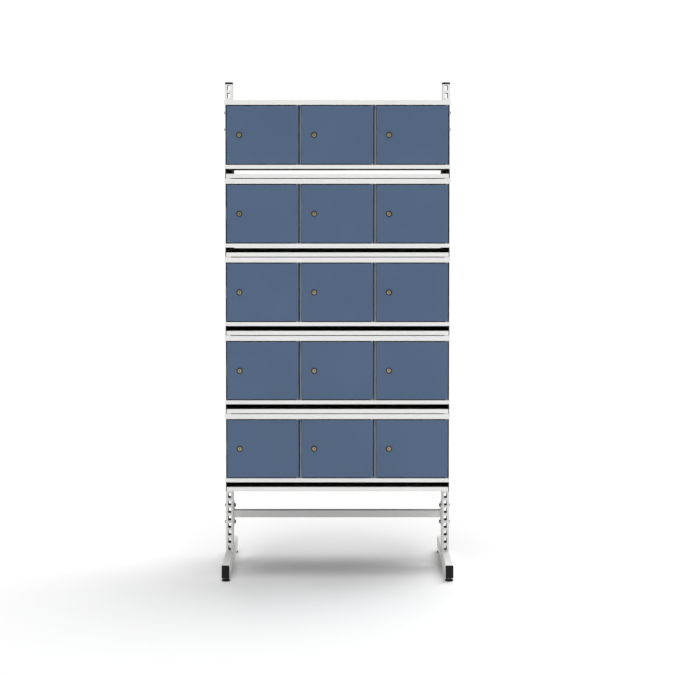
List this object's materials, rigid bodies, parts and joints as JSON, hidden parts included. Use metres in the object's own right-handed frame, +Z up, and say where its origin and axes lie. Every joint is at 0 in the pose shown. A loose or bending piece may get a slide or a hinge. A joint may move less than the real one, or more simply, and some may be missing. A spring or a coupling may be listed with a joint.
{
  "type": "coin operated locker",
  "caption": "Free-standing rack of coin-operated lockers: banks of hinged steel doors with cam locks, carried on hook-in arms between two slotted posts on T-feet.",
  "frame": {"origin": "on the floor, midway between the two posts and between the front and rear ends of the feet", "axes": "+Z up, -Y to the front where the doors are, +X to the right seen from the front"},
  "size_m": [0.898, 0.706, 1.93],
  "materials": {
    "white_paint": "satin",
    "black_paint": "matte",
    "blue_paint": "satin",
    "black_plastic": "matte",
    "black_steel": "satin",
    "bright_steel": "brushed",
    "lock_case": "satin",
    "brass": "polished"
  },
  "bodies": {
    "root": {"upright_posts": "white_paint", "base_feet": "white_paint", "tube_end_caps": "black_plastic", "lower_stretcher": "white_paint", "frame_bolts": "black_steel", "support_arms": "black_paint", "shelf_trays": "black_paint", "tray_rails": "white_paint", "locker_panels": "white_paint", "locker_walls": "white_paint", "hinge_studs": "bright_steel"},
    "leveller_front_left": {"leveller_front_left": "black_plastic"},
    "leveller_front_right": {"leveller_front_right": "black_plastic"},
    "leveller_rear_left": {"leveller_rear_left": "black_plastic"},
    "leveller_rear_right": {"leveller_rear_right": "black_plastic"},
    "door_r1_c1": {"door_r1_c1": "blue_paint", "coin_lock_r1_c1": "lock_case"},
    "plug_r1_c1": {"lock_plug_r1_c1": "brass"},
    "door_r1_c2": {"door_r1_c2": "blue_paint", "coin_lock_r1_c2": "lock_case"},
    "plug_r1_c2": {"lock_plug_r1_c2": "brass"},
    "door_r1_c3": {"door_r1_c3": "blue_paint", "coin_lock_r1_c3": "lock_case"},
    "plug_r1_c3": {"lock_plug_r1_c3": "brass"},
    "door_r2_c1": {"door_r2_c1": "blue_paint", "coin_lock_r2_c1": "lock_case"},
    "plug_r2_c1": {"lock_plug_r2_c1": "brass"},
    "door_r2_c2": {"door_r2_c2": "blue_paint", "coin_lock_r2_c2": "lock_case"},
    "plug_r2_c2": {"lock_plug_r2_c2": "brass"},
    "door_r2_c3": {"door_r2_c3": "blue_paint", "coin_lock_r2_c3": "lock_case"},
    "plug_r2_c3": {"lock_plug_r2_c3": "brass"},
    "door_r3_c1": {"door_r3_c1": "blue_paint", "coin_lock_r3_c1": "lock_case"},
    "plug_r3_c1": {"lock_plug_r3_c1": "brass"},
    "door_r3_c2": {"door_r3_c2": "blue_paint", "coin_lock_r3_c2": "lock_case"},
    "plug_r3_c2": {"lock_plug_r3_c2": "brass"},
    "door_r3_c3": {"door_r3_c3": "blue_paint", "coin_lock_r3_c3": "lock_case"},
    "plug_r3_c3": {"lock_plug_r3_c3": "brass"},
    "door_r4_c1": {"door_r4_c1": "blue_paint", "coin_lock_r4_c1": "lock_case"},
    "plug_r4_c1": {"lock_plug_r4_c1": "brass"},
    "door_r4_c2": {"door_r4_c2": "blue_paint", "coin_lock_r4_c2": "lock_case"},
    "plug_r4_c2": {"lock_plug_r4_c2": "brass"},
    "door_r4_c3": {"door_r4_c3": "blue_paint", "coin_lock_r4_c3": "lock_case"},
    "plug_r4_c3": {"lock_plug_r4_c3": "brass"},
    "door_r5_c1": {"door_r5_c1": "blue_paint", "coin_lock_r5_c1": "lock_case"},
    "plug_r5_c1": {"lock_plug_r5_c1": "brass"},
    "door_r5_c2": {"door_r5_c2": "blue_paint", "coin_lock_r5_c2": "lock_case"},
    "plug_r5_c2": {"lock_plug_r5_c2": "brass"},
    "door_r5_c3": {"door_r5_c3": "blue_paint", "coin_lock_r5_c3": "lock_case"},
    "plug_r5_c3": {"lock_plug_r5_c3": "brass"}
  },
  "joints": [
    {"name": "leveller_front_left_spin", "type": "hinge", "parent": "root", "child": "leveller_front_left", "pos_m": [-0.43, -0.324, 0], "axis": [0, 0, 1], "continuous": true},
    {"name": "leveller_front_right_spin", "type": "hinge", "parent": "root", "child": "leveller_front_right", "pos_m": [0.43, -0.324, 0], "axis": [0, 0, 1], "continuous": true},
    {"name": "leveller_rear_left_spin", "type": "hinge", "parent": "root", "child": "leveller_rear_left", "pos_m": [-0.43, 0.324, 0], "axis": [0, 0, 1], "continuous": true},
    {"name": "leveller_rear_right_spin", "type": "hinge", "parent": "root", "child": "leveller_rear_right", "pos_m": [0.43, 0.324, 0], "axis": [0, 0, 1], "continuous": true},
    {"name": "door_r1_c1_swing", "type": "hinge", "parent": "root", "child": "door_r1_c1", "pos_m": [-0.1543, -0.344, 1.714], "axis": [0, 0, 1], "range_deg": [0, 110]},
    {"name": "plug_r1_c1_turn", "type": "hinge", "parent": "door_r1_c1", "child": "plug_r1_c1", "pos_m": [-0.3743, -0.35, 1.714], "axis": [0, -1, 0], "range_deg": [0, 90]},
    {"name": "door_r1_c2_swing", "type": "hinge", "parent": "root", "child": "door_r1_c2", "pos_m": [0.131, -0.344, 1.714], "axis": [0, 0, 1], "range_deg": [0, 110]},
    {"name": "plug_r1_c2_turn", "type": "hinge", "parent": "door_r1_c2", "child": "plug_r1_c2", "pos_m": [-0.089, -0.35, 1.714], "axis": [0, -1, 0], "range_deg": [0, 90]},
    {"name": "door_r1_c3_swing", "type": "hinge", "parent": "root", "child": "door_r1_c3", "pos_m": [0.4163, -0.344, 1.714], "axis": [0, 0, 1], "range_deg": [0, 110]},
    {"name": "plug_r1_c3_turn", "type": "hinge", "parent": "door_r1_c3", "child": "plug_r1_c3", "pos_m": [0.1963, -0.35, 1.714], "axis": [0, -1, 0], "range_deg": [0, 90]},
    {"name": "door_r2_c1_swing", "type": "hinge", "parent": "root", "child": "door_r2_c1", "pos_m": [-0.1543, -0.344, 1.414], "axis": [0, 0, 1], "range_deg": [0, 110]},
    {"name": "plug_r2_c1_turn", "type": "hinge", "parent": "door_r2_c1", "child": "plug_r2_c1", "pos_m": [-0.3743, -0.35, 1.414], "axis": [0, -1, 0], "range_deg": [0, 90]},
    {"name": "door_r2_c2_swing", "type": "hinge", "parent": "root", "child": "door_r2_c2", "pos_m": [0.131, -0.344, 1.414], "axis": [0, 0, 1], "range_deg": [0, 110]},
    {"name": "plug_r2_c2_turn", "type": "hinge", "parent": "door_r2_c2", "child": "plug_r2_c2", "pos_m": [-0.089, -0.35, 1.414], "axis": [0, -1, 0], "range_deg": [0, 90]},
    {"name": "door_r2_c3_swing", "type": "hinge", "parent": "root", "child": "door_r2_c3", "pos_m": [0.4163, -0.344, 1.414], "axis": [0, 0, 1], "range_deg": [0, 110]},
    {"name": "plug_r2_c3_turn", "type": "hinge", "parent": "door_r2_c3", "child": "plug_r2_c3", "pos_m": [0.1963, -0.35, 1.414], "axis": [0, -1, 0], "range_deg": [0, 90]},
    {"name": "door_r3_c1_swing", "type": "hinge", "parent": "root", "child": "door_r3_c1", "pos_m": [-0.1543, -0.344, 1.114], "axis": [0, 0, 1], "range_deg": [0, 110]},
    {"name": "plug_r3_c1_turn", "type": "hinge", "parent": "door_r3_c1", "child": "plug_r3_c1", "pos_m": [-0.3743, -0.35, 1.114], "axis": [0, -1, 0], "range_deg": [0, 90]},
    {"name": "door_r3_c2_swing", "type": "hinge", "parent": "root", "child": "door_r3_c2", "pos_m": [0.131, -0.344, 1.114], "axis": [0, 0, 1], "range_deg": [0, 110]},
    {"name": "plug_r3_c2_turn", "type": "hinge", "parent": "door_r3_c2", "child": "plug_r3_c2", "pos_m": [-0.089, -0.35, 1.114], "axis": [0, -1, 0], "range_deg": [0, 90]},
    {"name": "door_r3_c3_swing", "type": "hinge", "parent": "root", "child": "door_r3_c3", "pos_m": [0.4163, -0.344, 1.114], "axis": [0, 0, 1], "range_deg": [0, 110]},
    {"name": "plug_r3_c3_turn", "type": "hinge", "parent": "door_r3_c3", "child": "plug_r3_c3", "pos_m": [0.1963, -0.35, 1.114], "axis": [0, -1, 0], "range_deg": [0, 90]},
    {"name": "door_r4_c1_swing", "type": "hinge", "parent": "root", "child": "door_r4_c1", "pos_m": [-0.1543, -0.344, 0.814], "axis": [0, 0, 1], "range_deg": [0, 110]},
    {"name": "plug_r4_c1_turn", "type": "hinge", "parent": "door_r4_c1", "child": "plug_r4_c1", "pos_m": [-0.3743, -0.35, 0.814], "axis": [0, -1, 0], "range_deg": [0, 90]},
    {"name": "door_r4_c2_swing", "type": "hinge", "parent": "root", "child": "door_r4_c2", "pos_m": [0.131, -0.344, 0.814], "axis": [0, 0, 1], "range_deg": [0, 110]},
    {"name": "plug_r4_c2_turn", "type": "hinge", "parent": "door_r4_c2", "child": "plug_r4_c2", "pos_m": [-0.089, -0.35, 0.814], "axis": [0, -1, 0], "range_deg": [0, 90]},
    {"name": "door_r4_c3_swing", "type": "hinge", "parent": "root", "child": "door_r4_c3", "pos_m": [0.4163, -0.344, 0.814], "axis": [0, 0, 1], "range_deg": [0, 110]},
    {"name": "plug_r4_c3_turn", "type": "hinge", "parent": "door_r4_c3", "child": "plug_r4_c3", "pos_m": [0.1963, -0.35, 0.814], "axis": [0, -1, 0], "range_deg": [0, 90]},
    {"name": "door_r5_c1_swing", "type": "hinge", "parent": "root", "child": "door_r5_c1", "pos_m": [-0.1543, -0.344, 0.514], "axis": [0, 0, 1], "range_deg": [0, 110]},
    {"name": "plug_r5_c1_turn", "type": "hinge", "parent": "door_r5_c1", "child": "plug_r5_c1", "pos_m": [-0.3743, -0.35, 0.514], "axis": [0, -1, 0], "range_deg": [0, 90]},
    {"name": "door_r5_c2_swing", "type": "hinge", "parent": "root", "child": "door_r5_c2", "pos_m": [0.131, -0.344, 0.514], "axis": [0, 0, 1], "range_deg": [0, 110]},
    {"name": "plug_r5_c2_turn", "type": "hinge", "parent": "door_r5_c2", "child": "plug_r5_c2", "pos_m": [-0.089, -0.35, 0.514], "axis": [0, -1, 0], "range_deg": [0, 90]},
    {"name": "door_r5_c3_swing", "type": "hinge", "parent": "root", "child": "door_r5_c3", "pos_m": [0.4163, -0.344, 0.514], "axis": [0, 0, 1], "range_deg": [0, 110]},
    {"name": "plug_r5_c3_turn", "type": "hinge", "parent": "door_r5_c3", "child": "plug_r5_c3", "pos_m": [0.1963, -0.35, 0.514], "axis": [0, -1, 0], "range_deg": [0, 90]}
  ]
}
